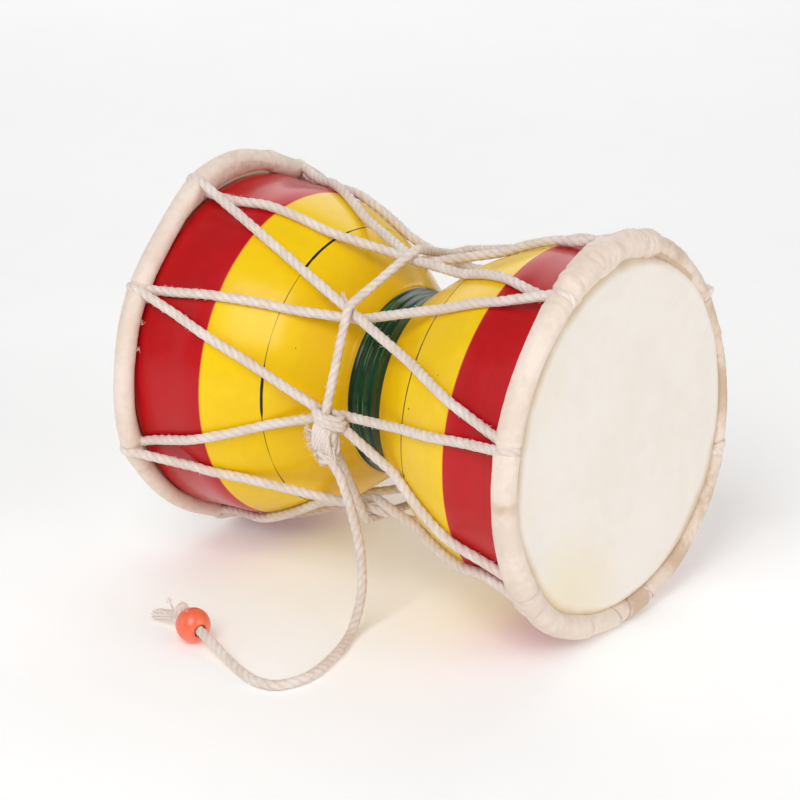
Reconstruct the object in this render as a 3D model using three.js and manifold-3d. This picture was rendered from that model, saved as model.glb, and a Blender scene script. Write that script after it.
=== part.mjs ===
// Damaru: a two-headed hourglass hand drum, lying on its side, laced with cotton cord,
// with a bead striker on a loose cord tied to its waist.
// Millimetres. +X runs along the drum's axis, +Z is up, and the origin is on the table under the waist.
import * as THREE from 'three';
import { mergeVertices } from 'three/addons/utils/BufferGeometryUtils.js';
import Module from 'manifold-3d';

// Driving dimensions
const clearance = 0.3; // gap between pieces that touch
const shellFacets = 32; // flats round the shell and its hides

// Turned shell: radii of its outside, by distance from the narrowest place of its waist
const headPlane = 77.3; // outer face of each hide, from the middle of the drum
const waistShift = -1.5; // the narrowest place lies a little off the middle
const waistRadius = 30.4;
const bandEdge = { at: 5.3, radius: 31.0 };
const neckFlare = { at: 9.8, radius: 33.9 };
const shoulder = { at: 17, radius: 39.2 };
const bowlMiddle = { at: 27.8, radius: 46.6 };
const rimRadius = 54.3; // the turned-down seat of the hide
const bellyRise = 0.4; // the bowl's widest part outside that seat
const lipRise = 0.6; // the bowl's edge at that seat, outside it
const bowlBelly = { at: 48, radius: rimRadius + bellyRise };
const bowlLip = { at: 60, radius: rimRadius + lipRise };
const rimSeat = 11; // length of that seat
const bowlWall = 6;
const waistBore = 14; // radius of the hole that joins the two bowls
const boreHalfLength = 9;
const outsideStations = [58, 48, 38, 31, 24, 18, 13, 9.8]; // rings of the turned outside, from the waist
const hollowStations = [20, 28, 38, 52]; // rings of the hollow, from the waist
const grooveDepth = 0.5;
const grooveWidth = 1.4;
const grooveSpacing = 3.6;
const grooveCount = 3;

// Hides and the rolls that hold them
const hideThickness = 0.8;
const hideSkirt = 5; // length turned down over the rim
const hideCorner = 1.2; // radius of the turn
const rollRadius = { near: 3.8, far: 3.3 };
const rollSetBack = 2.3; // centre of a roll behind the hide's face
const rollWave = 0.4; // a roll is this far out at each lacing point, and this far in between them
const restFlat = 0.6; // depth of the flat spot under each roll

// Lacing
const cordRadius = 1.6;
const rollBite = 1.7; // how far the cord sinks into a roll
const lacingLean = 0.6; // degrees from a turn's middle to either of its ends
const farLacing = [-28.6, 20.5, 59, 110, 164.5, 221, 276]; // degrees from the top, towards -Y
const nearLacing = [-7, 31.5, 76.5, 125, 195.5, 248.5, 306];
const gatherRadius = 42.4; // middle of the crossing pair, drawn in by the waist tie
const crossings = [ // where the waist tie draws the strands together, in degrees from the top, towards -Y
  { along: 2, degrees: 6 },
  { along: -4, degrees: 44.3 },
  { along: -2.4, degrees: 88 },
  { along: 1.5, degrees: 138 },
  { along: -3, degrees: 204 },
  { along: -1, degrees: 262 },
  { along: -9, degrees: 316.5 },
];
const crossingGap = 0.4; // between the two cords of a crossing
const cordLift = 1.1; // least gap from a strand's bends to the shell, so that its straights clear it too
const pullShares = [0.12, 0.28, 0.45, 0.66]; // where a strand is bent on its way to a crossing

// Knots, striker and bead
const knotSize = 2.4; // radius of the waist knot's turns, to the middle of their cord
const knotPlace = { beside: 1.6, lower: 8.3 }; // from the crossing to the lump, in mm and degrees
const knotTurns = 3; // turns of the tie round the crossing that it is knotted on
const knottedGather = 2;
const beadRadius = 5.5;
const beadBore = 1.9;
const endKnotSize = 1.7;
const tailEnd = new THREE.Vector3(-41.5, -85.4, 2.4);

// Cord from the waist knot, down to the table and along it, chosen by hand
const strikerRoute = [
  [1.2, -48.6, 53],
  [2.4, -48.7, 51],
  [4.5, -48.8, 48.7],
  [6.6, -49, 44.6],
  [8.5, -49, 40],
  [10.2, -49.2, 35.5],
  [12.9, -49.6, 26.2],
  [14.3, -50.5, 15],
  [14.6, -52.2, 8.8],
  [15.7, -56.4, 3.9],
  [17.4, -61.4, 1.9],
  [20.1, -68.4, 1.7],
  [22.4, -76.7, 1.7],
  [24, -84.2, 1.7],
  [24.2, -90.8, 1.7],
  [22.7, -96.1, 1.7],
  [20, -99.9, 1.7],
  [16.1, -101.2, 1.7],
  [11, -100.8, 1.7],
  [4.6, -98.9, 2],
  [-0.7, -97.2, 2.8],
  [-6, -95.4, 3.9],
  [-12.2, -93.1, 4.9],
  [-17.3, -91.1, 5.4],
  [-21.7, -89.4, 5.6],
  [-26.6, -87.5, 5.8],
];
const beadPlace = new THREE.Vector3(-21.7, -89.4, 5.55);

// Sizes that follow from the ones above
const hideSeat = rimRadius + clearance;
const hideRadius = hideSeat + hideThickness;
const shellEnd = headPlane - hideThickness - clearance;
const rollOuterRadius = hideRadius + clearance + 2 * (rollRadius.near + rollWave);
const axisHeight = rollOuterRadius - restFlat;
const crossingStep = cordRadius + crossingGap / 2; // from the middle of a crossing to either cord
const tieRadius = gatherRadius + crossingStep + 2 * cordRadius + clearance;
const endKnotThickness = 0.85 * cordRadius;
const endKnotReach = endKnotSize + endKnotThickness;

const wasm = await Module();
wasm.setup();

function toSolid(geometry) {
  const bare = geometry.clone();
  bare.deleteAttribute('normal');
  bare.deleteAttribute('uv');
  const merged = mergeVertices(bare, 1e-4);
  return new wasm.Manifold(new wasm.Mesh({
    numProp: 3,
    vertProperties: new Float32Array(merged.attributes.position.array),
    triVerts: new Uint32Array(merged.index.array),
  }));
}

function toGeometry(solid) {
  const mesh = solid.getMesh();
  const geometry = new THREE.BufferGeometry();
  geometry.setAttribute('position', new THREE.BufferAttribute(new Float32Array(mesh.vertProperties), 3));
  geometry.setIndex(new THREE.BufferAttribute(new Uint32Array(mesh.triVerts), 1));
  geometry.computeVertexNormals();
  return geometry;
}

// The outer surface of a joined solid, without the slivers that joining leaves inside it
function outerSurface(solid) {
  const surfaces = toSolid(toGeometry(solid)).decompose();
  return surfaces.reduce((most, next) => (next.volume() > most.volume() ? next : most));
}

// A point by its place along the axis, its distance from the axis and its angle from the top
function around(along, radius, degrees) {
  const angle = THREE.MathUtils.degToRad(degrees);
  return new THREE.Vector3(along, -radius * Math.sin(angle), radius * Math.cos(angle));
}

// A spline whose tube has one ring at each of its points
class PointRoute extends THREE.CatmullRomCurve3 {
  getUtoTmapping(u) {
    return u;
  }
}

function closedTube(points, radius, sides) {
  const route = new PointRoute(points, true, 'centripetal');
  return new THREE.TubeGeometry(route, points.length, radius, sides, true);
}

function openTube(route, radius, sides, steps) {
  const section = new THREE.Shape();
  for (let i = 0; i < sides; i += 1) {
    const angle = (2 * Math.PI * i) / sides;
    const x = radius * Math.cos(angle);
    const y = radius * Math.sin(angle);
    if (i === 0) section.moveTo(x, y);
    else section.lineTo(x, y);
  }
  section.closePath();
  return new THREE.ExtrudeGeometry(section, { steps, extrudePath: route, bevelEnabled: false });
}

// A profile of [along, radius] pairs, its outside running from +X to -X, turned about the drum's axis
function turned(profile, segments) {
  const points = profile.map(([along, radius]) => new THREE.Vector2(radius, along)).reverse();
  return new THREE.LatheGeometry(points, segments).rotateZ(-Math.PI / 2);
}

// Shell
const bowlKnots = [
  { at: 0, radius: waistRadius },
  bandEdge,
  neckFlare,
  shoulder,
  bowlMiddle,
  bowlBelly,
  bowlLip,
];

// Radius of the bowl's outside at a distance from the waist, by a smooth curve through its knots
function bowlRadius(distance) {
  const last = bowlKnots.length - 1;
  const i = Math.min(Math.max(bowlKnots.findIndex((knot) => knot.at > distance), 1), last);
  const place = distance >= bowlKnots[last].at ? last : i;
  const [a, b] = [bowlKnots[place - 1], bowlKnots[place]];
  const slope = (k) => {
    if (k === 0) return 0;
    const next = bowlKnots[Math.min(k + 1, last)];
    const before = bowlKnots[k - 1];
    return (next.radius - before.radius) / (next.at - before.at);
  };
  const span = b.at - a.at;
  const t = Math.min((distance - a.at) / span, 1);
  const rise = b.radius - a.radius;
  const start = slope(place - 1) * span;
  const end = slope(place) * span;
  return a.radius + start * t + (3 * rise - 2 * start - end) * t * t + (start + end - 2 * rise) * t * t * t;
}

function shellRadius(along) {
  return Math.abs(along) > shellEnd - rimSeat ? rimRadius : bowlRadius(Math.abs(along - waistShift));
}

function shellProfile() {
  const profile = [];
  const seatStart = shellEnd - rimSeat;
  profile.push([shellEnd, rimRadius], [seatStart, rimRadius]);
  for (const station of outsideStations) {
    if (station + waistShift < seatStart) profile.push([station + waistShift, bowlRadius(station)]);
  }
  for (let g = grooveCount - 1; g >= 0; g -= 1) {
    const centre = waistShift + (g - (grooveCount - 1) / 2) * grooveSpacing;
    const radius = bowlRadius(Math.abs(centre - waistShift));
    profile.push([centre + grooveWidth / 2, radius]);
    profile.push([centre, radius - grooveDepth]);
    profile.push([centre - grooveWidth / 2, radius]);
  }
  for (const station of [...outsideStations].reverse()) {
    if (station - waistShift < seatStart) profile.push([waistShift - station, bowlRadius(station)]);
  }
  profile.push([-seatStart, rimRadius], [-shellEnd, rimRadius]);
  const hollow = [];
  for (const station of hollowStations) {
    hollow.push([station, bowlRadius(station) - bowlWall]);
  }
  const inner = [[-shellEnd, rimRadius - bowlWall]];
  for (const [station, radius] of [...hollow].reverse()) inner.push([waistShift - station, radius]);
  inner.push([waistShift - boreHalfLength, waistBore], [waistShift + boreHalfLength, waistBore]);
  for (const [station, radius] of hollow) inner.push([waistShift + station, radius]);
  inner.push([shellEnd, rimRadius - bowlWall]);
  profile.push(...inner, profile[0]);
  return profile;
}

// Hide: a flat head with its edge turned down over the rim; side is +1 or -1
function hideProfile(side) {
  const inside = headPlane - hideThickness;
  const corner = [];
  for (const degrees of [90, 45, 0]) {
    const angle = THREE.MathUtils.degToRad(degrees);
    corner.push([
      headPlane - hideCorner + hideCorner * Math.sin(angle),
      hideRadius - hideCorner + hideCorner * Math.cos(angle),
    ]);
  }
  const profile = [
    [headPlane, 0],
    ...corner,
    [headPlane - hideSkirt, hideRadius],
    [headPlane - hideSkirt, hideSeat],
    [inside - clearance, hideSeat],
    [inside, hideSeat - clearance],
    [inside, 0],
  ];
  return side > 0 ? profile : profile.map(([along, radius]) => [-along, radius]).reverse();
}

// Rolls: a wound ring round each head, out at the lacing points and drawn in between them
function waveBetween(degrees, lacing) {
  const turns = [...lacing, lacing[0] + 360];
  const angle = ((degrees - lacing[0]) % 360 + 360) % 360 + lacing[0];
  const i = turns.findIndex((lace) => lace > angle) - 1;
  return Math.cos((2 * Math.PI * (angle - turns[i])) / (turns[i + 1] - turns[i]));
}

function rollPath(side) {
  const radius = side > 0 ? rollRadius.near : rollRadius.far;
  const lacing = side > 0 ? nearLacing : farLacing;
  const middle = rollOuterRadius - radius - rollWave;
  return (degrees) => ({
    along: side * (headPlane - rollSetBack),
    radius: middle + rollWave * waveBetween(degrees, lacing),
  });
}

function rollTube(side) {
  const steps = 36;
  const path = rollPath(side);
  const points = [];
  for (let i = 0; i < steps; i += 1) {
    const degrees = (360 * i) / steps;
    const { along, radius } = path(degrees);
    points.push(around(along, radius, degrees));
  }
  return closedTube(points, side > 0 ? rollRadius.near : rollRadius.far, 8);
}

// Lacing: one closed cord, seven times to and fro between the rolls
// The turn round a roll, from the strand outside it, over its face and back between it and the shell
function rollTurn(side, degrees) {
  const { along, radius } = rollPath(side)(degrees);
  const roll = side > 0 ? rollRadius.near : rollRadius.far;
  const out = roll + cordRadius - rollBite;
  const under = hideRadius + clearance + cordRadius;
  const shape = [
    [-0.8 * out, radius + 0.75 * out, lacingLean],
    [0, radius + out, 0.7 * lacingLean],
    [0.74 * out, radius + 0.7 * out, 0.3 * lacingLean],
    [out + clearance, radius, 0],
    [0.8 * out, under + 3 * clearance, -0.3 * lacingLean],
    [0, under, -0.7 * lacingLean],
    [-out, under, -lacingLean],
  ];
  return shape.map(([step, distance, turn]) => around(along + side * step, distance, degrees + turn));
}

// A straight pull between two points, kept off the shell that it lies on
function pull(from, to) {
  return pullShares.map((share) => {
    const point = from.clone().lerp(to, share);
    const distance = Math.hypot(point.y, point.z);
    const least = shellRadius(point.x) + cordRadius + cordLift;
    const scale = Math.max(1, least / distance);
    return new THREE.Vector3(point.x, point.y * scale, point.z * scale);
  });
}

function lacingPoints() {
  const count = farLacing.length;
  const points = [];
  const strand = (from, crossing, radius, to) => {
    const middle = around(crossing.along, radius, crossing.degrees);
    points.push(...pull(from, middle), middle, ...pull(to, middle).reverse());
  };
  // The cord goes out over a far roll's lacing point i and comes back under the one after next
  for (let lap = 0; lap < count; lap += 1) {
    const far = (2 * lap) % count;
    const near = (far + 1) % count;
    const nextFar = (far + 2) % count;
    const farTurn = rollTurn(-1, farLacing[far]).reverse();
    const nearTurn = rollTurn(1, nearLacing[near]);
    const nextTurn = rollTurn(-1, farLacing[nextFar]).reverse();
    points.push(...farTurn);
    const comeBack = [...nearTurn].reverse();
    strand(farTurn.at(-1), crossings[far], gatherRadius + crossingStep, comeBack[0]);
    points.push(...comeBack);
    strand(comeBack.at(-1), crossings[near], gatherRadius - crossingStep, nextTurn[0]);
  }
  return points;
}

// Waist tie: a cord drawn tight round all the crossings, with its knot on one of them
function tiePoints() {
  const flat = THREE.MathUtils.radToDeg((1.3 * cordRadius) / tieRadius); // lies flat over each crossing
  const corners = crossings.map(({ along, degrees }) => [
    around(along, tieRadius, degrees - flat),
    around(along, tieRadius, degrees + flat),
  ]);
  const points = [];
  corners.forEach(([first, last], i) => {
    const before = corners.at(i - 1)[1];
    const after = corners[(i + 1) % corners.length][0];
    points.push(first.clone().lerp(before, 0.12), first, last, last.clone().lerp(after, 0.12));
  });
  return points;
}

// One turn of the tie round both cords of the crossing, at a place along the axis beside its middle
function knotTurn({ along, degrees }, beside) {
  const lowest = gatherRadius - crossingStep - 2 * cordRadius - clearance;
  const highest = tieRadius + 0.35 * Math.abs(beside);
  const middle = (lowest + highest) / 2;
  const half = (highest - lowest) / 2;
  const halfWidth = 2 * cordRadius + 3 * clearance + 0.6 * Math.abs(beside);
  const points = [];
  const steps = 9;
  for (let i = 0; i < steps; i += 1) {
    const angle = (2 * Math.PI * i) / steps;
    const distance = middle + half * Math.cos(angle);
    const swing = THREE.MathUtils.radToDeg((halfWidth * Math.sin(angle)) / middle);
    points.push(around(along + beside, distance, degrees + swing));
  }
  return closedTube(points, cordRadius, 5);
}

// A knot drawn tight at a place: three crossed turns of cord round a filled middle, the first one round the axis
function knotLump(size, thickness, place, axis) {
  const turn = new THREE.Quaternion().setFromUnitVectors(new THREE.Vector3(0, 0, 1), axis);
  const { x, y, z } = place;
  let solid = toSolid(new THREE.SphereGeometry(size, 8, 6).translate(x, y, z));
  for (const tilt of [0, 60, -60]) {
    const ring = new THREE.TorusGeometry(size, thickness, 6, 10).rotateX(THREE.MathUtils.degToRad(tilt));
    solid = solid.add(toSolid(ring.applyQuaternion(turn).translate(x, y, z)));
  }
  return solid;
}

function tieSolid() {
  const crossing = crossings[knottedGather];
  let solid = toSolid(closedTube(tiePoints(), cordRadius, 6));
  for (let i = 0; i < knotTurns; i += 1) {
    const beside = (i - (knotTurns - 1) / 2) * 1.9 * cordRadius;
    solid = solid.add(toSolid(knotTurn(crossing, beside)));
  }
  const place = around(crossing.along + knotPlace.beside, tieRadius + 0.4, crossing.degrees + knotPlace.lower);
  return solid.add(knotLump(knotSize, cordRadius, place, new THREE.Vector3(0, -1, 0)));
}

// Bead, bored through
function beadGeometry() {
  const reach = Math.sqrt(beadRadius ** 2 - beadBore ** 2);
  const profile = [];
  const arcSteps = 7;
  const start = Math.atan2(beadBore, reach);
  for (let i = 0; i <= arcSteps; i += 1) {
    const angle = start + ((Math.PI - 2 * start) * i) / arcSteps;
    profile.push([beadRadius * Math.cos(angle), beadRadius * Math.sin(angle)]);
  }
  profile.push(profile[0]);
  return turned(profile, 14);
}

// The overhand knot that stops the bead, with the cord's tail beyond it
function endKnotSolid(place, axis) {
  const tail = openTube(new THREE.LineCurve3(place, tailEnd), 0.8 * cordRadius, 8, 1);
  return knotLump(endKnotSize, endKnotThickness, place, axis).add(toSolid(tail));
}

// Finishes
const lacquer = new THREE.MeshStandardMaterial({ color: 0xe8b90f, roughness: 0.25, metalness: 0 });
const hide = new THREE.MeshStandardMaterial({ color: 0xf1e8df, roughness: 0.6, metalness: 0 });
const cotton = new THREE.MeshStandardMaterial({ color: 0xe3d6ca, roughness: 0.9, metalness: 0 });
const plastic = new THREE.MeshStandardMaterial({ color: 0xff6a48, roughness: 0.3, metalness: 0 });

function named(name, geometry, material) {
  const mesh = new THREE.Mesh(geometry, material);
  mesh.name = name;
  return mesh;
}

const drum = new THREE.Group();
drum.position.z = axisHeight;
const lacingTube = closedTube(lacingPoints(), cordRadius, 5);
const lacingRoom = toSolid(closedTube(lacingPoints(), cordRadius + clearance, 5));
const aboveTable = toSolid(new THREE.BoxGeometry(4 * headPlane, 4 * headPlane, 4 * headPlane)
  .translate(0, 0, 2 * headPlane - axisHeight));
drum.add(named('drum_shell', turned(shellProfile(), shellFacets), lacquer));
for (const [side, place] of [[1, 'near'], [-1, 'far']]) {
  drum.add(named(`head_hide_${place}`, turned(hideProfile(side), shellFacets), hide));
  const roll = toSolid(rollTube(side)).subtract(lacingRoom).intersect(aboveTable);
  drum.add(named(`rim_roll_${place}`, toGeometry(roll), hide));
}
drum.add(named('lacing_cord', lacingTube, cotton));
drum.add(named('waist_tie', toGeometry(outerSurface(tieSolid())), cotton));

const striker = new THREE.Group();
const route = new THREE.CatmullRomCurve3(strikerRoute.map((point) => new THREE.Vector3(...point)));
const cordSteps = Math.round(route.getLength() / (4 * cordRadius));
striker.add(named('striker_cord', openTube(route, cordRadius, 8, cordSteps), cotton));
const beadAxis = new THREE.Vector3(...strikerRoute.at(-1)).sub(new THREE.Vector3(...strikerRoute.at(-3)));
const beadTurn = new THREE.Quaternion().setFromUnitVectors(new THREE.Vector3(-1, 0, 0), beadAxis.normalize());
const bead = named('striker_bead', beadGeometry(), plastic);
bead.position.copy(beadPlace);
bead.quaternion.copy(beadTurn);
striker.add(bead);
const knotCentre = beadPlace.clone().addScaledVector(beadAxis, beadRadius + clearance + endKnotReach);
const endKnot = outerSurface(endKnotSolid(knotCentre, beadAxis));
striker.add(named('striker_end_knot', toGeometry(endKnot), cotton));

const damaru = new THREE.Group();
damaru.add(drum, striker);
export default damaru;
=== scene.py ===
import math
import random

import bmesh
import bpy
from mathutils import Matrix, Vector, noise
from mathutils.geometry import interpolate_bezier


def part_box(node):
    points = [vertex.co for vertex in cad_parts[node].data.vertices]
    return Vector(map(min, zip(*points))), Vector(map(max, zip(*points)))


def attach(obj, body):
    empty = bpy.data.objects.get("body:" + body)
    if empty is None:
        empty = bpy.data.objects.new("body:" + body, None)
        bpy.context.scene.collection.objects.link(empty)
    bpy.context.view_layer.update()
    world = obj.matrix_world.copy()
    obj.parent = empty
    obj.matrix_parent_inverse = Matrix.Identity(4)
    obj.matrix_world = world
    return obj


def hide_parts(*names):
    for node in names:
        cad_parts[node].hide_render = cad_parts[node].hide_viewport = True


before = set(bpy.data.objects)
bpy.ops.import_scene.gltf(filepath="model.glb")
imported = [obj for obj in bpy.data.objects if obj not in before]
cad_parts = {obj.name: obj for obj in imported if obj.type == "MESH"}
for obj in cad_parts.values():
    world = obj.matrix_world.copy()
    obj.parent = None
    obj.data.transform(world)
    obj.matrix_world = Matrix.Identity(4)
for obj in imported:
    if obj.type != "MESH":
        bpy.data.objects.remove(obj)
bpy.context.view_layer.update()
mm = 0.001
hideLow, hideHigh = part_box("head_hide_near")
axisHeight = (hideLow.z + hideHigh.z) / 2 / mm  # the drum's axis above the table
scene = bpy.context.scene


# places and curves

def around(along, radius, degrees):
    # a point by its place on the drum's axis, its distance from it and its angle from the top, towards -Y
    angle = math.radians(degrees)
    return Vector((along, -radius * math.sin(angle), axisHeight + radius * math.cos(angle))) * mm


def placeOf(point):
    # the way back from around: the place on the axis, the distance from it and the angle from the top
    y, z = -point.y / mm, point.z / mm - axisHeight
    return point.x / mm, math.hypot(y, z), math.degrees(math.atan2(y, z))


def ringTable(marks):
    # a smooth round of values, two to the degree, from a few (degrees, value) marks
    marks = sorted((d % 360, v) for d, v in marks)
    marks = [(marks[-1][0] - 360, marks[-1][1])] + marks + [(marks[0][0] + 360, marks[0][1])]
    values, k = [], 0
    for i in range(720):
        while marks[k + 1][0] < i / 2:
            k += 1
        (d0, v0), (d1, v1) = marks[k], marks[k + 1]
        values.append(v0 + (v1 - v0) * (i / 2 - d0) / max(d1 - d0, 1e-6))
    for _ in range(3):
        values = [sum(values[(i + j) % 720] for j in range(-8, 9)) / 17 for i in range(720)]
    return values


def ringValue(table, degrees):
    at = degrees % 360 * 2
    low = int(at)
    return table[low % 720] + (table[(low + 1) % 720] - table[low % 720]) * (at - low)


def smoothStep(low, high, value):
    t = min(max((value - low) / (high - low), 0), 1)
    return t * t * (3 - 2 * t)


def angleApart(a, b):
    return (a - b + 180) % 360 - 180


def smoothRoute(points, step, closed=False):
    # even points along a smooth curve through the given ones
    count = len(points)
    fine = []
    for i in range(count if closed else count - 1):
        p0 = points[i - 1] if closed or i > 0 else points[0] * 2 - points[1]
        p1, p2 = points[i], points[(i + 1) % count]
        p3 = points[(i + 2) % count] if closed or i + 2 < count else p2 * 2 - p1
        gap = (p2 - p1).length
        before = (p2 - p0).normalized() * gap / 3
        after = (p3 - p1).normalized() * gap / 3
        fine += interpolate_bezier(p1, p1 + before, p2 - after, p2, 13)[:-1]
    fine.append(points[0] if closed else points[-1])
    lengths = [0]
    for a, b in zip(fine, fine[1:]):
        lengths.append(lengths[-1] + (b - a).length)
    number = max(int(round(lengths[-1] / step)), 8)
    even, k = [], 0
    for i in range(number if closed else number + 1):
        at = lengths[-1] * i / number
        while k < len(fine) - 2 and lengths[k + 1] < at:
            k += 1
        share = (at - lengths[k]) / max(lengths[k + 1] - lengths[k], 1e-9)
        even.append(fine[k].lerp(fine[k + 1], min(share, 1)))
    return even, lengths[-1]


# meshes

def smoothMesh(bm, name):
    mesh = bpy.data.meshes.new(name)
    bm.to_mesh(mesh)
    bm.free()
    mesh.polygons.foreach_set("use_smooth", [True] * len(mesh.polygons))
    return mesh


def joinMeshes(name, meshes):
    bm = bmesh.new()
    for mesh in meshes:
        bm.from_mesh(mesh)
        bpy.data.meshes.remove(mesh)
    return smoothMesh(bm, name)


def dress(mesh, material):
    # a finished piece on the drum's one body
    piece = bpy.data.objects.new(mesh.name, mesh)
    scene.collection.objects.link(piece)
    mesh.materials.clear()
    mesh.materials.append(material)
    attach(piece, "root")
    return piece


def spinRound(bm, height, steps, merge=1e-7):
    # an outline turned about a level axis, at a height in mm
    bmesh.ops.spin(
        bm, geom=bm.verts[:] + bm.edges[:], cent=(0, 0, height * mm), axis=(1, 0, 0), angle=2 * math.pi,
        steps=steps, use_merge=True)
    bmesh.ops.remove_doubles(bm, verts=bm.verts, dist=merge)
    bmesh.ops.recalc_face_normals(bm, faces=bm.faces)


def spun(outline, height, steps, closed=True, merge=1e-7):
    # a bmesh turned from (along, out) points in mm
    bm = bmesh.new()
    vertices = [bm.verts.new(Vector((along, 0, height + out)) * mm) for along, out in outline]
    ends = vertices[1:] + vertices[:1] if closed else vertices[1:]
    for pair in zip(vertices, ends):
        bm.edges.new(pair)
    spinRound(bm, height, steps, merge)
    return bm


def curveMesh(name, splines, closed=False, section=None):
    # splines are lists of (point, tilt, thickness); section is a list of radii round the cord, or None
    # for a plain round one, and then each thickness is its radius in mm
    data = bpy.data.curves.new(name, "CURVE")
    data.dimensions = "3D"
    data.twist_mode = "MINIMUM"
    for points in splines:
        spline = data.splines.new("POLY")
        spline.points.add(len(points) - 1)
        for at, (point, tilt, thickness) in zip(spline.points, points):
            at.co = (*point, 1)
            at.tilt = tilt
            at.radius = thickness
        spline.use_cyclic_u = closed
    shape = None
    if section:
        shapeData = bpy.data.curves.new(name + "Section", "CURVE")
        shapeData.dimensions = "2D"
        ring = shapeData.splines.new("POLY")
        ring.points.add(len(section) - 1)
        for i, (at, radius) in enumerate(zip(ring.points, section)):
            angle = 2 * math.pi * i / len(section)
            at.co = (radius * math.cos(angle), radius * math.sin(angle), 0, 1)
        ring.use_cyclic_u = True
        shape = bpy.data.objects.new(name + "Section", shapeData)
        scene.collection.objects.link(shape)
        data.bevel_mode = "OBJECT"
        data.bevel_object = shape
    else:
        data.bevel_depth = mm
        data.bevel_resolution = 0
    data.use_fill_caps = not closed and section is not None
    holder = bpy.data.objects.new(name + "Curve", data)
    scene.collection.objects.link(holder)
    graph = bpy.context.evaluated_depsgraph_get()
    mesh = bpy.data.meshes.new_from_object(holder.evaluated_get(graph), depsgraph=graph)
    mesh.name = name
    bpy.data.objects.remove(holder)
    bpy.data.curves.remove(data)
    if shape:
        bpy.data.objects.remove(shape)
        bpy.data.curves.remove(shapeData)
    return mesh


# materials

class Nodes:
    # a material or a node group, filled step by step
    def __init__(self, tree):
        self.tree = tree

    def fill(self, node, values):
        # inputs by their names or numbers, each a plain value or the output of another node
        for name, value in values.items():
            if isinstance(value, (int, float, tuple)):
                node.inputs[name].default_value = value
            else:
                self.tree.links.new(value, node.inputs[name])

    def add(self, kind, values=None, **settings):
        made = self.tree.nodes.new(kind)
        for key, value in settings.items():
            setattr(made, key, value)
        self.fill(made, values or {})
        return made

    def calc(self, operation, *values):
        return self.add("ShaderNodeMath", dict(enumerate(values)), operation=operation).outputs[0]

    def times(self, first, second):
        return self.calc("MULTIPLY", first, second)

    def minus(self, first, second):
        return self.calc("SUBTRACT", first, second)

    def mix(self, factor, first, second):
        return self.add("ShaderNodeMix", {0: factor, 6: first, 7: second}, data_type="RGBA").outputs[2]

    def tint(self, tone, mask, share, shade):
        # a tone drawn towards a shade by a share of a mask
        return self.mix(self.times(mask, share), tone, shade)

    def noise(self, where, scale, detail=3, roughness=0.5, distortion=0):
        values = {"Vector": where, "Scale": scale, "Detail": detail, "Roughness": roughness}
        values["Distortion"] = distortion
        return self.add("ShaderNodeTexNoise", values).outputs["Fac"]

    def stretch(self, where, scale, location=(0, 0, 0)):
        values = {"Vector": where, "Scale": scale, "Location": location}
        return self.add("ShaderNodeMapping", values).outputs[0]

    def split(self, where):
        return self.add("ShaderNodeSeparateXYZ", {0: where}).outputs

    def distance(self, where, point):
        made = self.add("ShaderNodeVectorMath", {0: where, 1: tuple(point)}, operation="DISTANCE")
        return made.outputs["Value"]

    def attribute(self, name):
        return self.add("ShaderNodeAttribute", attribute_name=name).outputs["Fac"]

    def band(self, value, low, high):
        # 0 below low, 1 above high
        values = {"Value": value, "From Min": low, "From Max": high}
        made = self.add("ShaderNodeMapRange", values, clamp=True, interpolation_type="SMOOTHSTEP")
        return made.outputs["Result"]

    def blotches(self, where, size, fine):
        values = {"Place": where, "Size": size, "Fine": fine}
        return self.add("ShaderNodeGroup", values, node_tree=blotchTree).outputs[0]

    def paint(self, tone, height=None, strength=0, distance=0):
        # the colour and the relief of a material's surface
        self.fill(self.shader, {"Base Color": tone})
        if height is not None:
            values = {"Height": height, "Strength": strength, "Distance": distance}
            self.fill(self.shader, {"Normal": self.add("ShaderNodeBump", values).outputs[0]})


def colour(red, green, blue):
    # a screen colour, 0 to 255, as the light that it stands for
    def light(value):
        value /= 255
        return value / 12.92 if value <= 0.04045 else ((value + 0.055) / 1.055) ** 2.4
    return (light(red), light(green), light(blue), 1)


def newMaterial(name, surface):
    # a material with its plain values set, to be painted
    material = bpy.data.materials.new(name)
    material.use_nodes = True
    nodes = Nodes(material.node_tree)
    nodes.shader = next(n for n in material.node_tree.nodes if n.type == "BSDF_PRINCIPLED")
    nodes.fill(nodes.shader, surface)
    return material, nodes, nodes.add("ShaderNodeTexCoord").outputs["Object"]


def blotchGroup():
    # soft blotches over a plain colour, with finer specks in them
    tree = bpy.data.node_groups.new("blotches", "ShaderNodeTree")
    for name, kind in (("Place", "Vector"), ("Size", "Float"), ("Fine", "Float")):
        tree.interface.new_socket(name, in_out="INPUT", socket_type="NodeSocket" + kind)
    tree.interface.new_socket("Mask", in_out="OUTPUT", socket_type="NodeSocketFloat")
    nodes = Nodes(tree)
    given = nodes.add("NodeGroupInput").outputs
    broad = nodes.times(nodes.noise(given["Place"], given["Size"], 3), 0.65)
    fine = nodes.times(nodes.noise(given["Place"], given["Fine"], 4), 0.35)
    nodes.add("NodeGroupOutput", {"Mask": nodes.band(nodes.calc("ADD", broad, fine), 0.4, 0.62)})
    return tree


blotchTree = blotchGroup()


# camera and lights

camera = {"from": (491.08, -653.71, 301.87), "toward": (-0.56912, 0.74326, -0.35166), "lens": 121.74}
cameraData = bpy.data.cameras.new("camera")
cameraData.lens = camera["lens"]
cameraData.sensor_width = 36
cameraData.clip_end = 30
cameraObject = bpy.data.objects.new("camera", cameraData)
cameraObject.location = (Vector(camera["from"]) + Vector((0, 0, axisHeight))) * mm
cameraObject.rotation_euler = Vector(camera["toward"]).to_track_quat("-Z", "Y").to_euler()
scene.collection.objects.link(cameraObject)
scene.camera = cameraObject

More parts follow.
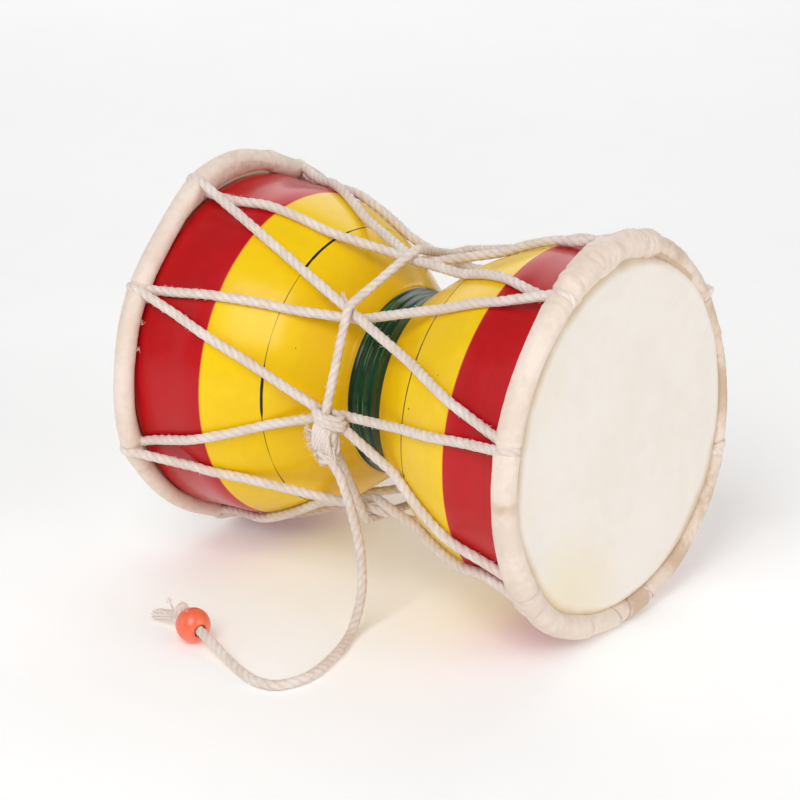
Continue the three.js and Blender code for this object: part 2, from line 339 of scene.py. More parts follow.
lights = {
    "key": {"toward": (0.2, -0.72, 0.66), "far": 1.25, "size": (0.6, 0.85), "power": 7.8},
    "back": {"toward": (-0.52, 0.65, 0.54), "far": 1.5, "size": (1.7, 0.9), "power": 7.6},
    "side": {"toward": (0.95, 0.05, 0.4), "far": 1.5, "size": (1.0, 1.0), "power": 6.7},
    "left": {"toward": (-0.8, -0.55, 0.3), "far": 1.5, "size": (1.1, 1.1), "power": 1.8},
    "world": 0.29,
    "table": 0.16,
}
for name in ("key", "back", "side", "left"):
    spec = lights[name]
    data = bpy.data.lights.new(name, "AREA")
    data.shape = "RECTANGLE"
    data.size, data.size_y = spec["size"]
    data.energy = spec["power"]
    lamp = bpy.data.objects.new(name, data)
    toward = Vector(spec["toward"]).normalized()
    lamp.location = toward * spec["far"] + Vector((0, 0, axisHeight * mm))
    lamp.rotation_euler = (-toward).to_track_quat("-Z", "Y").to_euler()
    scene.collection.objects.link(lamp)
world = bpy.data.worlds.new("studio")
world.use_nodes = True
world.node_tree.nodes["Background"].inputs["Color"].default_value = (1, 1, 1, 1)
world.node_tree.nodes["Background"].inputs["Strength"].default_value = lights["world"]
scene.world = world
scene.view_settings.view_transform = "Standard"
print("camera and lights made")


# cotton cord

def cottonMaterial():
    material, nodes, place = newMaterial("cotton", {
        "Roughness": 0.9, "Specular IOR Level": 0.2, "Sheen Weight": 0.25, "Sheen Roughness": 0.6,
    })
    tone = nodes.mix(nodes.blotches(place, 140, 900), colour(234, 218, 207), colour(246, 235, 226))
    tone = nodes.tint(tone, nodes.band(nodes.noise(place, 1400, 2), 0.62, 0.72), 0.28, colour(204, 182, 168))
    # painted shade: the cord drawn darker in the grooves between its laid strands
    tone = nodes.tint(tone, nodes.attribute("groove"), 0.28, colour(182, 156, 140))
    nodes.paint(tone, nodes.noise(place, 2300, 3, 0.6), 0.5, 0.00025)
    return material


cotton = cottonMaterial()
rope = {"radius": 1.6, "pitch": 9.4, "groove": 0.13, "round": 18, "step": 0.62, "hairs": 1.2}


def ropeSection(count):
    # depth of the grooves between three strands laid together, seen from the end, 0 to 1
    return [(1 - abs(math.cos(3 * math.pi * i / count))) ** 1.3 for i in range(count)]


def ropeMesh(name, routes, radius, closed=False, pitch=rope["pitch"], taper=None):
    splines = []
    for points, length in routes:
        turns = round(length / mm / pitch)
        last = len(points) if closed else len(points) - 1
        spline = []
        for i, point in enumerate(points):
            swell = (1 + 0.05 * noise.noise(point * 420)) * (taper(i / last) if taper else 1)
            spline.append((point, 2 * math.pi * (turns * i / last % 1), swell))
        splines.append(spline)
    depths = ropeSection(rope["round"])
    mesh = curveMesh(name, splines, closed, [radius * mm * (1 - rope["groove"] * d) for d in depths])
    # the depth of each groove, kept for the cotton's painted shade in it
    grooves = mesh.attributes.new("groove", "FLOAT", "POINT")
    grooves.data.foreach_set("value", [depths[i % len(depths)] for i in range(len(mesh.vertices))])
    return mesh


striker = {
    "route": [
        (1.2, -48.6, 53), (2.4, -48.7, 51), (4.5, -48.8, 48.7), (6.6, -49, 44.6), (8.5, -49, 40),
        (10.2, -49.2, 35.5), (12.9, -49.6, 26.2), (14.3, -50.5, 15), (14.6, -52.2, 8.8), (15.7, -56.4, 3.9),
        (17.4, -61.4, 1.9), (20.1, -68.4, 1.7), (22.4, -76.7, 1.7), (24, -84.2, 1.7), (24.2, -90.8, 1.7),
        (22.7, -96.1, 1.7), (20, -99.9, 1.7), (16.1, -101.2, 1.7), (11, -100.8, 1.7), (4.6, -98.9, 2),
        (-0.7, -97.2, 2.8), (-6, -95.4, 3.9), (-12.2, -93.1, 4.9), (-17.3, -91.1, 5.4), (-21.7, -89.4, 5.6),
        (-26.6, -87.5, 5.8),
    ],
    "bead": (-21.7, -89.4, 5.55),
    "beadRadius": 5.5,
    "beadBore": 1.85,
    "beadMouth": 2.2,
    "knotGap": 7.4,  # from the middle of the bead to the middle of the knot
    "tailEnd": (-41.5, -85.4, 2.4),
    "length": 0.150,
}
strikerAxis = (Vector(striker["route"][-1]) - Vector(striker["route"][-3])).normalized()


def hairs(draw, points, radius, perMillimetre):
    # short loose fibres that stand off a cord, as splines for curveMesh
    splines = []
    length = sum((b - a).length for a, b in zip(points, points[1:])) / mm
    for _ in range(int(length * perMillimetre)):
        k = draw.randrange(1, len(points) - 1)
        along = (points[k + 1] - points[k - 1]).normalized()
        side = along.cross(Vector((draw.gauss(0, 1), draw.gauss(0, 1), draw.gauss(0, 1)))).normalized()
        lean = along * draw.uniform(-1.2, 1.2)
        reach = draw.uniform(0.35, 1.0)
        start = points[k] + side * radius * 0.85 * mm
        middle = start + (side * 0.55 + lean * 0.5) * reach * mm
        end = middle + (side * draw.uniform(-0.1, 0.5) + lean * 0.8) * reach * mm
        spline = []
        for point, thickness in ((start, 0.07), (middle, 0.055), (end, 0.03)):
            spline.append((Vector((point.x, point.y, max(point.z, 0.1 * mm))), 0, thickness))
        splines.append(spline)
    return splines


strikerPoints, strikerLength = smoothRoute([Vector(p) * mm for p in striker["route"]], rope["step"] * mm)
print("striker cord, metres:", round(strikerLength, 4))
strikerCord = dress(joinMeshes("strikerCord", [
    ropeMesh("laid", [(strikerPoints, strikerLength)], rope["radius"]),
    curveMesh("hairs", hairs(random.Random(3), strikerPoints, rope["radius"], rope["hairs"])),
]), cotton)
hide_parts("striker_cord")


# bead

def beadMaterial():
    material, nodes, place = newMaterial("orangePlastic", {
        "Roughness": 0.34, "Subsurface Weight": 0.15, "Subsurface Radius": (0.004, 0.0015, 0.001),
        "Coat Weight": 0.4, "Coat Roughness": 0.12,
    })
    tone = nodes.mix(nodes.blotches(place, 260, 1500), colour(252, 108, 74), colour(255, 126, 88))
    nodes.paint(tone, nodes.noise(place, 330, 2), 0.25, 0.0004)
    return material


def makeBead():
    radius, bore, mouth = striker["beadRadius"], striker["beadBore"], striker["beadMouth"]
    start, steps = math.asin(mouth / radius), 28
    outline = []
    for i in range(steps + 1):
        angle = start + (math.pi - 2 * start) * i / steps
        outline.append((radius * math.cos(angle), radius * math.sin(angle)))
    reach = outline[0][0]
    inside = [(reach - 1.5, bore), (reach - 0.7, bore + 0.25), (reach - 0.15, mouth - 0.2)]
    bm = spun(inside + outline[1:-1] + [(-along, out) for along, out in reversed(inside)], 0, 48)
    turn = Vector((-1, 0, 0)).rotation_difference(strikerAxis).to_matrix().to_4x4()
    bmesh.ops.transform(bm, matrix=Matrix.Translation(Vector(striker["bead"]) * mm) @ turn, verts=bm.verts)
    return dress(smoothMesh(bm, "strikerBead"), beadMaterial())


strikerBead = makeBead()
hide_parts("striker_bead")


# knots and frayed ends

def loopPoints(centre, across, up, halfWidth, halfHeight, count, sway, seed):
    # an oval turn of cord
    points = []
    for i in range(count):
        angle = 2 * math.pi * i / count
        out = across * halfWidth * math.cos(angle) + up * halfHeight * math.sin(angle)
        side = across.cross(up)
        shake = noise.noise(Vector((math.cos(angle) * 1.7, math.sin(angle) * 1.7, seed * 3.1))) * sway
        points.append(centre + (out + side * shake) * mm)
    return points


def frayedEnd(draw, base, toward, spread, count, length, thickness):
    # loose fibres from one place, as splines for curveMesh
    side = toward.cross(Vector((0.3, 0.2, 1))).normalized()
    other = toward.cross(side).normalized()
    splines = []
    for _ in range(count):
        swing = Vector((draw.gauss(0, 1), draw.gauss(0, 1)))
        direction = (toward + (side * swing.x + other * swing.y) * spread).normalized()
        bend = (side * draw.uniform(-1, 1) + other * draw.uniform(-1, 1)) * 0.35
        reach = length * draw.uniform(0.6, 1.08)
        root = base + (side * draw.gauss(0, 0.45) + other * draw.gauss(0, 0.45)) * mm
        spline = []
        for k in range(5):
            t = k / 4
            point = root + (direction * reach * t + bend * reach * t * t) * mm
            point.z = max(point.z, 0.2 * mm)
            spline.append((point, 0, thickness * (1 - 0.55 * t)))
        splines.append(spline)
    return splines


def makeEndKnot():
    axis = strikerAxis
    centre = (Vector(striker["bead"]) + axis * striker["knotGap"]) * mm
    side = axis.cross(Vector((0, 0, 1))).normalized()
    up = side.cross(axis).normalized()
    loops = []
    for rise, on, across, upwards, wide, high, sway in (
        (0.8, 0, side, up + axis * 0.25, 1.7, 2.0, 0.4),
        (1.3, 0.6, axis, up + side * 0.5, 1.5, 1.9, 0.4),
        (0.3, 0, axis + side * 0.6, up - side * 0.4, 1.3, 1.9, 0.3),
    ):
        middle = centre + (up * rise + axis * on) * mm
        turn = across.normalized(), upwards.normalized()
        loops.append(loopPoints(middle, *turn, wide, high, 16, sway, len(loops) + 1))
    draw = random.Random(11)
    end = Vector(striker["tailEnd"]) * mm
    tail = end - centre
    strands = 6
    yarns, wisps = [], []
    for k in range(strands + 1):
        # the laid strands round a middle one, opened at the cut end
        turn = 2 * math.pi * k / strands
        ring = (side * math.cos(turn) + up * math.sin(turn)) * (0 if k == strands else 1)
        wide = draw.uniform(0.95, 1.25)
        points = [
            centre + ring * 0.55 * mm, centre + tail * 0.3 + ring * 0.8 * mm,
            centre + tail * 0.62 + ring * wide * mm,
            centre + tail * draw.uniform(0.93, 1.06) + ring * wide * 1.1 * mm,
        ]
        yarns.append(smoothRoute([Vector((p.x, p.y, max(p.z, 0.75 * mm))) for p in points], 0.5 * mm))
    fibres = frayedEnd(draw, end - tail * 0.14, tail.normalized(), 0.2, 40, 2.4, 0.08)
    wisp = centre + tail * 0.32 + up * 0.9 * mm
    for k in range(3):
        lean = Vector((-0.42 + 0.05 * k, 0.06, 0.9))
        points = [wisp, wisp + lean * 2.2 * mm, wisp + (lean * 4.4 + Vector((-0.5, 0, 0.3 - 0.3 * k))) * mm]
        wisps.append(smoothRoute(points, 0.4 * mm))
    wispEnd = wisp + Vector((-0.42, 0.06, 0.9)) * 3.4 * mm
    fibres += frayedEnd(draw, wispEnd, Vector((-0.45, 0.06, 0.9)), 0.12, 12, 1.8, 0.08)
    fibres += hairs(draw, loops[0] + loops[1], 1.2, 2)
    return dress(joinMeshes("strikerEndKnot", [
        ropeMesh("turns", [smoothRoute(loop, 0.5 * mm, True) for loop in loops], 1.15, True),
        ropeMesh("yarns", yarns, 0.62, False, 9, lambda t: 1 - 0.1 * t - 0.5 * smoothStep(0.88, 1, t)),
        ropeMesh("wisp", wisps, 0.36, False, 9, lambda t: 1 - 0.75 * t),
        curveMesh("fibres", fibres),
    ]), cotton)


strikerEndKnot = makeEndKnot()
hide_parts("striker_end_knot")
print("striker made")


# turned shell

shell = {
    "waistShift": -1.5, "headPlane": 77.3, "end": 76.2, "rimRadius": 54.3, "wall": 6,
    "knots": [(0, 30.4), (5.3, 31.0), (9.8, 33.9), (17, 39.2), (27.8, 46.6), (48, 54.7), (60, 55.6),
              (68, 56.3), (76, 57.8)],
    "bore": 14, "boreHalf": 9, "hollow": (20, 24, 28, 33, 38, 45, 52), "rounds": 160,
    "grooves": (-5.1, -1.5, 2.1), "grooveWidth": 1.6, "grooveDepth": 0.35,
    "stepWidth": 0.7, "stepDepth": 0.4,  # the cut at the green band's far edge
    "bands": {"redFar": -48.1, "lineFar": -29.0, "greenFar": -6.8, "greenNear": 8.3, "lineNear": 26.7,
              "redNear": 48.2},
    "edge": 0.32,  # the orange line where the red and the yellow lie over each other
    "lineWidth": 0.5,
    "farLine": [(0, 0.5), (5, 0.9), (31, 0.8), (35, 0.25), (48, 0.35), (60, 0.2), (73, 0.35), (77, 0.95),
                (93, 0.9), (96, 0.25), (106, 0.35), (116, 0.2), (130, 0.5), (200, 0.3), (260, 0.6),
                (320, 0.3), (350, 0.4)],
    "nearLine": [(0, 0.35), (30, 0.55), (55, 0.7), (90, 0.65), (110, 0.5), (150, 0.4), (220, 0.6),
                 (300, 0.4)],
    "specks": [(29.3, 75, 0.45), (27.4, 102, 0.6), (28.6, 104.5, 0.45), (40, 61, 0.3), (-38, 72, 0.25),
               (-22, 64, 0.25), (30, 200, 0.5), (-33, 240, 0.45), (22, 320, 0.4)],
}  # the lines: angle and width; the specks: along, angle and size


def bowlRadius(distance):
    knots = shell["knots"]
    last = len(knots) - 1
    place = next((i for i, (at, _) in enumerate(knots) if at > distance), last)
    place = min(max(place, 1), last)

    def slope(k):
        if k == 0:
            return 0
        after = knots[min(k + 1, last)]
        return (after[1] - knots[k - 1][1]) / (after[0] - knots[k - 1][0])

    (a, ra), (b, rb) = knots[place - 1], knots[place]
    span = b - a
    t = min((distance - a) / span, 1)
    rise, start, end = rb - ra, slope(place - 1) * span, slope(place) * span
    return ra + start * t + (3 * rise - 2 * start - end) * t ** 2 + (start + end - 2 * rise) * t ** 3


def shellRadius(along):
    return bowlRadius(min(abs(along - shell["waistShift"]), shell["knots"][-1][0]))


def lacquerMaterial():
    material, nodes, place = newMaterial("lacquer", {
        "Roughness": 0.45, "Specular IOR Level": 0.1,
        "Coat Weight": 0.8, "Coat IOR": 1.34, "Coat Roughness": 0.2,
    })
    x, y, z = nodes.split(place)
    along = nodes.calc("ADD", x, nodes.times(nodes.minus(nodes.noise(place, 26, 2), 0.5), 0.6 * mm))
    bands = shell["bands"]
    streaks = nodes.noise(nodes.stretch(place, (900, 26, 26)), 1, 3, 0.6)
    mottle = nodes.blotches(place, 30, 260)
    red = nodes.mix(mottle, colour(186, 6, 14), colour(194, 11, 20))
    red = nodes.tint(red, nodes.band(streaks, 0.55, 0.75), 0.25, colour(164, 4, 12))
    # the yellow deepens to amber towards the waist: partly the lacquer's own amber, partly painted shade in
    # the hollow between the bowls
    waist = nodes.band(nodes.calc("ABSOLUTE", nodes.minus(x, shell["waistShift"] * mm)), 30 * mm, 8 * mm)
    yellow = nodes.mix(mottle, colour(247, 203, 0), colour(252, 210, 4))
    yellow = nodes.tint(yellow, waist, 0.45, colour(234, 172, 0))
    yellow = nodes.tint(yellow, nodes.band(streaks, 0.58, 0.8), 0.22, colour(232, 176, 0))
    green = nodes.mix(mottle, colour(8, 50, 26), colour(12, 64, 34))
    # painted reflection: light streaks along the ridges of the green band
    reflectionStreaks = nodes.noise(nodes.stretch(place, (1500, 40, 40)), 1, 2, 0.5)
    green = nodes.tint(green, nodes.band(reflectionStreaks, 0.6, 0.68), 0.85, colour(74, 132, 74))
    # painted shade: a dark line in the cut at the green band's far edge
    step = nodes.calc("ABSOLUTE", nodes.minus(along, bands["greenFar"] * mm))
    green = nodes.mix(nodes.band(step, 0.9 * mm, 0.3 * mm), green, colour(4, 20, 12))
    orange = colour(240, 128, 40)
    tone = red
    for at, paint in (
        (bands["redFar"] - shell["edge"], orange), (bands["redFar"], yellow), (bands["greenFar"], green),
        (bands["greenNear"], yellow), (bands["redNear"], orange), (bands["redNear"] + shell["edge"], red),
    ):
        tone = nodes.mix(nodes.band(along, (at - 0.05) * mm, (at + 0.05) * mm), tone, paint)
    turn = nodes.calc("ARCTAN2", nodes.times(y, -1), nodes.minus(z, axisHeight * mm))
    turn = nodes.calc("FRACT", nodes.calc("ADD", nodes.calc("DIVIDE", turn, 2 * math.pi), 1))
    for at, marks in ((bands["lineFar"], shell["farLine"]), (bands["lineNear"], shell["nearLine"])):
        # a scribed line that thickens and fades as it goes round
        ramp = nodes.add("ShaderNodeValToRGB", {0: turn})
        stops = ramp.color_ramp.elements
        stops[0].position, stops[1].position = 0, 1
        for degrees, width in marks:
            stops.new(degrees / 360).color = (width, width, width, 1)
        first = marks[0][1]
        for stop in (stops[0], stops[-1]):
            stop.color = (first, first, first, 1)
        broken = nodes.noise(nodes.stretch(place, (0.1, 1, 1), (at, 0, 0)), 420, 2)
        broken = nodes.calc("MULTIPLY_ADD", broken, 0.5, 0.72)
        width = nodes.times(nodes.times(ramp.outputs[0], broken), shell["lineWidth"] * mm)
        apart = nodes.calc("ABSOLUTE", nodes.minus(along, at * mm))
        tone = nodes.mix(nodes.band(nodes.minus(width, apart), 0, 0.1 * mm), tone, colour(30, 18, 8))
    for at, degrees, size in shell["specks"]:
        apart = nodes.distance(place, around(at, shellRadius(at), degrees))
        tone = nodes.mix(nodes.band(apart, size * mm, 0.5 * size * mm), tone, colour(70, 44, 8))
    lathe = nodes.noise(nodes.stretch(place, (2600, 60, 60)), 1, 2)
    ripple = nodes.noise(nodes.stretch(place, (1.6, 1, 1)), 60, 2)
    nodes.paint(tone, nodes.calc("MULTIPLY_ADD", lathe, 0.08, ripple), 0.3, 0.0006)
    return material


def makeShell():
    end, rim, shift, wall = (shell[key] for key in ("end", "rimRadius", "waistShift", "wall"))
    ends = [(end, rim), (end - 0.6, 55.6), (end - 1.8, 56.4)]  # a rounded edge under the hide
    outline = list(ends)
    x = end - 3.2
    while x > 3.2 - end:
        radius = shellRadius(x)
        for groove in shell["grooves"]:
            radius -= shell["grooveDepth"] * math.exp(-(2 * (x - groove) / shell["grooveWidth"]) ** 2)
        apart = x - shell["bands"]["greenFar"]
        radius -= shell["stepDepth"] * math.exp(-(2 * apart / shell["stepWidth"]) ** 2)
        outline.append((x, radius))
        x -= 0.25 if -8.5 < x < 9.5 else 1.5  # fine steps over the waist's grooves
    outline += [(-along, out) for along, out in reversed(ends)]
    outline.append((-end, rim - wall))
    outline += [(shift - s, bowlRadius(s) - wall) for s in reversed(shell["hollow"])]
    outline += [(shift - shell["boreHalf"], shell["bore"]), (shift + shell["boreHalf"], shell["bore"])]
    outline += [(shift + s, bowlRadius(s) - wall) for s in shell["hollow"]]
    outline.append((end, rim - wall))
    bm = spun(outline, axisHeight, shell["rounds"])
    return dress(smoothMesh(bm, "drumShell"), lacquerMaterial())


drumShell = makeShell()
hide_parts("drum_shell")
print("shell made")


# rolls of hide round the rims

# drift and size are (angle, mm further out) and (angle, share of the radius); laps are (angle, way,
# height, reach, bulge), marks (lap, darkness of the painted shade at its edge), stains (angle, width,
# strength), bumps (angle round the drum, angle round the roll, height, width, roundness), tufts (along,
# radius, angle, reach)
rolls = {
    "near": {
        "side": 1, "radius": 3.8, "outer": 64.1,
        "drift": [(8, 1.8), (20, 1.5), (36, 1.4), (50, 1.2), (66, 1.1), (80, 0.7), (89, 0.4), (113, -0.4),
                  (126, 0), (133, -0.6), (142, 0.4), (158, -0.2), (168, -0.5), (180, -0.1), (191, 0.4),
                  (204, 1.8), (220, 3.3), (235, 3.6), (249, 2.6), (264, 1.1), (272, 0.1), (280, -0.9),
                  (288, -2.3), (297, -3.9), (314, -3.7), (323, -3.6), (331, -3.0), (338, -2.2),
                  (346, -0.5), (354, 0.5)],
        "size": [(0, 1.04), (12, 1.16), (27, 1.16), (36, 1.02), (60, 0.98), (95, 1.02), (125, 1.06),
                 (150, 1.04), (185, 0.92), (210, 0.86), (240, 0.8), (270, 0.62), (290, 0.6), (315, 0.78),
                 (340, 0.95)],
        "laps": [(10, -1, 0.8, 24, 1.6), (347, -1, 0.8, 20, 1.2), (338, 1, 0.35, 10, 1.0),
                 (36.5, -1, 0.3, 12, 0.8), (128.5, 1, 0.6, 34, 3.2), (162, 1, 0.45, 12, 2.2),
                 (177.5, 1, 0.4, 11, 2), (185, -1, 0.4, 9, 1.5), (195, 1, 0.5, 8, 1.6),
                 (208, -1, 0.3, 12, 1), (251, 1, 0.35, 18, 1.5), (290, -1, 0.35, 20, 1.5)],
        "marks": [(10, 0.3), (347, 0.6), (128.5, 0.45), (162, 0.5), (177.5, 0.65), (195, 1.0), (185, 0.5),
                  (251, 0.6)],
        "stains": [(190, 6.5, 0.95), (213, 8, 0.75), (235, 18, 0.5), (270, 14, 0.75), (300, 22, 0.6),
                   (335, 10, 0.5), (18, 8, 0.25), (93, 3, 0.5)],
        "rough": (322, 34, 0.45), "ochreAndShade": (316, 352, 1.1),
        "bumps": [(28, 1.5, 1.3, 1.6, 0.5), (8, -0.4, 0.5, 2.5, 0.6), (137, 0.3, 0.7, 4, 0.9),
                  (352, -0.9, 0.6, 1.6, 0.5)],
        "lacing": (-7, 31.5, 76.5, 125, 195.5, 248.5, 306),
        "tufts": [(76, 65.3, 8, 1.6), (78.2, 60.5, 349, 1.5), (77.9, 59.2, 343, 1.3)],
        "stretch": 0.2, "pinch": 0.75, "bite": 3.0, "seed": 3.7,
    },
    "far": {
        "side": -1, "radius": 3.3, "outer": 64.1,
        "drift": [(305, -0.3), (318, -0.5), (324, -0.9), (330, -1.8), (336, -2.3), (342, -1.6),
                  (348, -0.9), (354, 0.9), (0, 2.0), (7, 2.8), (16, 2.9), (23, 2.2), (32, -0.2),
                  (41, -1.7), (51, -1.8), (60, -0.7), (72, -0.8), (84, -1.2), (93, -0.4), (103, 0.6),
                  (110, 1.1), (121, -0.6), (133, -1.3), (147, -2.2), (160, -2.2), (172, -0.9), (183, 0),
                  (240, 0.4)],
        "size": [(0, 0.98), (30, 1.05), (50, 1.06), (72, 1.02), (90, 1.02), (108, 1.0), (122, 0.88),
                 (150, 0.85), (166, 0.88), (182, 1.02), (200, 1.05), (260, 0.95), (310, 1.0)],
        "laps": [(348, 1, 0.35, 18, 1.5), (214, 1, 0.45, 24, 2), (300, -1, 0.3, 16, 1.5)],
        "marks": [(348, 0.3), (214, 0.5)],
        "stains": [(5, 8, 0.3), (230, 9, 0.5), (140, 14, 0.3), (120, 5, 0.3)],
        "rough": (338, 352, 0.12), "ochreAndShade": (340, 20, 0.4),
        "bumps": [(346, 1.2, 0.6, 2, 0.6)],
        "lacing": (-28.6, 20.5, 59, 110, 164.5, 221, 276),
        "tufts": [(-71.8, 57.7, 69, 1.9), (-71.8, 57.7, 77.5, 1.7)],
        "stretch": 1.05, "pinch": 0.7, "bite": 2.4, "seed": 8.2,
    },
}
setBack = 2.3  # middle of a roll behind the hide's face
ringRadius = 60  # middle of a roll before its drift
for spec in rolls.values():
    spec["drift"], spec["size"] = ringTable(spec["drift"]), ringTable(spec["size"])


def rollCentre(spec, degrees):
    # the place along the axis, the distance from it and the radius of a roll at an angle
    size = spec["radius"] * ringValue(spec["size"], degrees)
    drift = ringValue(spec["drift"], degrees)
    radius = spec["outer"] - 2 * spec["radius"] + size + 0.75 * drift + 0.25 * max(drift, 0)
    return spec["side"] * (shell["headPlane"] - setBack), radius, size


def rollReach(spec, degrees):
    # how much further in than a round roll the hide is drawn, to stay on the shell under a high roll
    return spec["stretch"] * max(ringValue(spec["drift"], degrees), 0)


def rollMaterial():
    material, nodes, place = newMaterial("rollHide", {
        "Roughness": 0.62, "Specular IOR Level": 0.4, "Subsurface Weight": 0.12,
        "Subsurface Radius": (0.003, 0.0018, 0.001),
    })
    tone = nodes.mix(nodes.blotches(place, 55, 420), colour(233, 214, 198), colour(243, 227, 214))
    drawn = nodes.band(nodes.noise(place, 230, 5, 0.65, 0.6), 0.6, 0.75)
    tone = nodes.tint(tone, drawn, 0.25, colour(222, 196, 174))
    # the hide's own stains, and the ochre band along the roll's inner side, which is partly painted shade in
    # the crease, raise the ragged tan patches
    stainAndShade = nodes.times(nodes.attribute("stainAndShade"), 0.8)
    ragged = nodes.band(nodes.calc("MULTIPLY_ADD", nodes.noise(place, 380, 4, 0.6), 0.7, stainAndShade), 0.5, 0.95)
    tone = nodes.tint(tone, ragged, 0.72, colour(200, 168, 134))
    # painted shade: dark lines in the creases at the lap ends
    tone = nodes.mix(nodes.attribute("lapShade"), tone, colour(112, 82, 54))
    grain = nodes.noise(place, 900, 4, 0.6)
    creases = nodes.noise(place, 190, 4, 0.6, 0.8)
    nodes.paint(tone, nodes.calc("MULTIPLY_ADD", grain, 0.3, creases), 0.45, 0.0006)
    return material


def insideSpan(degrees, span):
    # degrees from the nearer end of a span, 0 outside it
    first, last = span[:2]
    past = (degrees - first) % 360
    return min(past, (last - degrees) % 360) if past < (last - first) % 360 else 0


def lapEdge(spec, lap, turn):
    # how far the tongue of hide at a lap's end reaches at an angle round the roll, in degrees
    return lap[4] * math.cos(turn - 0.9) + 0.5 * noise.noise(Vector((turn * 1.3, spec["seed"], lap[0])))


def rollRelief(spec, degrees, turn):
    # height over the plain roll in mm and the painted shade in the crease at a lap's end, at an angle
    # round the drum and one round the roll
    angle = math.radians(degrees)
    out = ringRadius + spec["radius"] * math.sin(turn)
    ahead = spec["radius"] * math.cos(turn) + spec["seed"] * 10
    spot = Vector((out * math.cos(angle), out * math.sin(angle), ahead))
    relief = noise.noise(spot * 0.1) * 0.13 + noise.fractal(spot * 0.5, 1.0, 2.0, 3) * 0.06
    inside = insideSpan(degrees, spec["rough"])
    if inside:
        fold = math.exp(-(noise.noise(spot * 0.15) / 0.1) ** 2)
        rough = spec["rough"][2] * smoothStep(0, 6, inside)
        relief += rough * (noise.fractal(spot * 0.3, 0.9, 2.1, 3) - 0.45 * fold)
    for at, facing, height, wide, round in spec["bumps"]:
        apart = angleApart(degrees, at)
        if abs(apart) < 3 * wide:
            about = math.remainder(turn - facing, 2 * math.pi)
            relief += height * math.exp(-(apart / wide) ** 2 - (about / round) ** 2)
    for lap in spec["laps"]:
        # one turn of hide ends on the next in a tongue
        end, way, height, reach, _ = lap
        apart = way * angleApart(degrees, end) - lapEdge(spec, lap, turn)
        if -reach < apart < 2:
            relief += height * (1 + apart / reach if apart < 0 else 1) * (1 - smoothStep(-0.2, 0.45, apart))
    # painted shade: darkness along the edge of each lap's tongue
    lapShade = 0
    for place, strength in spec["marks"]:
        lap = next(l for l in spec["laps"] if l[0] == place)
        apart = lap[1] * angleApart(degrees, place) - lapEdge(spec, lap, turn) - 0.3
        lapShade = max(lapShade, strength * max(0, 1 - abs(apart) / 0.45))
    for lace in spec["lacing"]:
        apart = angleApart(degrees, lace)
        if abs(apart) < 12:
            relief += 0.2 * math.exp(-(apart / 4) ** 2) - spec["pinch"] * math.exp(-(apart / 1.35) ** 4)
    return relief, lapShade


def makeRoll(name, spec, material):
    sides, steps = 34, 940
    bm = bmesh.new()
    ring = bmesh.ops.create_circle(bm, segments=sides, radius=mm)["verts"]
    bmesh.ops.rotate(bm, verts=ring, cent=(0, 0, 0), matrix=Matrix.Rotation(math.pi / 2, 3, "X"))
    bmesh.ops.translate(bm, verts=ring, vec=(0, 0, (axisHeight + ringRadius) * mm))
    spinRound(bm, axisHeight, steps)
    # vertex layers: the painted shade at the lap ends, and the hide's own stains with the partly painted
    # shade of the ochre band
    marks, stains = bm.verts.layers.float.new("lapShade"), bm.verts.layers.float.new("stainAndShade")
    for vertex in bm.verts:
        x, distance, degrees = placeOf(vertex.co)
        turn = math.atan2(distance - ringRadius, x * spec["side"])  # 0 faces outwards from the drum
        along, radius, size = rollCentre(spec, degrees)
        relief, vertex[marks] = rollRelief(spec, degrees, turn)
        # tan band on the roll's side towards the axis: partly the hide's own ochre, partly painted shade in
        # the crease against the hide
        ochreAndShade = spec["ochreAndShade"][2] * smoothStep(0, 6, insideSpan(degrees, spec["ochreAndShade"]))
        ochreAndShade *= 1 - smoothStep(-0.8, -0.2, turn)  # only on the side towards the drum's axis
        spots = [s * math.exp(-(angleApart(degrees, d) / w) ** 2) for d, w, s in spec["stains"]]
        vertex[stains] = max([ochreAndShade] + spots)
        thick = size + relief
        down = 1 + (rollReach(spec, degrees) / size if turn < 0 else 0)
        out = radius + thick * math.sin(turn) * down
        vertex.co = around(along + spec["side"] * thick * math.cos(turn), out, degrees)
        vertex.co.z = max(vertex.co.z, 0)
    fibres = []
    for at, out, degrees, reach in spec["tufts"]:
        base = around(at, out, degrees)
        outwards = (around(at, out + 1, degrees) - base).normalized()
        fibres += frayedEnd(random.Random(int(degrees)), base, outwards, 0.9, 12, reach, 0.08)
    loose = curveMesh(name + "Tufts", fibres)
    bm.from_mesh(loose)
    bpy.data.meshes.remove(loose)
    return dress(smoothMesh(bm, name), material)


rollHide = rollMaterial()
rimRollNear = makeRoll("rimRollNear", rolls["near"], rollHide)
rimRollFar = makeRoll("rimRollFar", rolls["far"], rollHide)
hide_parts("rim_roll_near")
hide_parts("rim_roll_far")
print("rolls made")


# stretched hides

hide = {
    "face": 77.3, "thickness": 0.8, "rings": (0, 6, 14, 22, 30, 37, 43, 47.5, 50), "rounds": 240,
    "fold": [(51.6, 0.06), (52.8, 0.14), (53.8, 0.12), (54.7, -0.08), (55.5, -0.5), (56.2, -1.1),
             (56.9, -1.8), (57.8, -2.9)],
    "tints": [(140, 24, 0.5), (158, 26, 0.4), (60, 16, 0.2), (95, 14, 0.2)],
    "leastLip": -0.8,  # no closer, or the shell's edge would come through
}  # fold: radius and rise of the turned edge; tints: angle, reach and strength


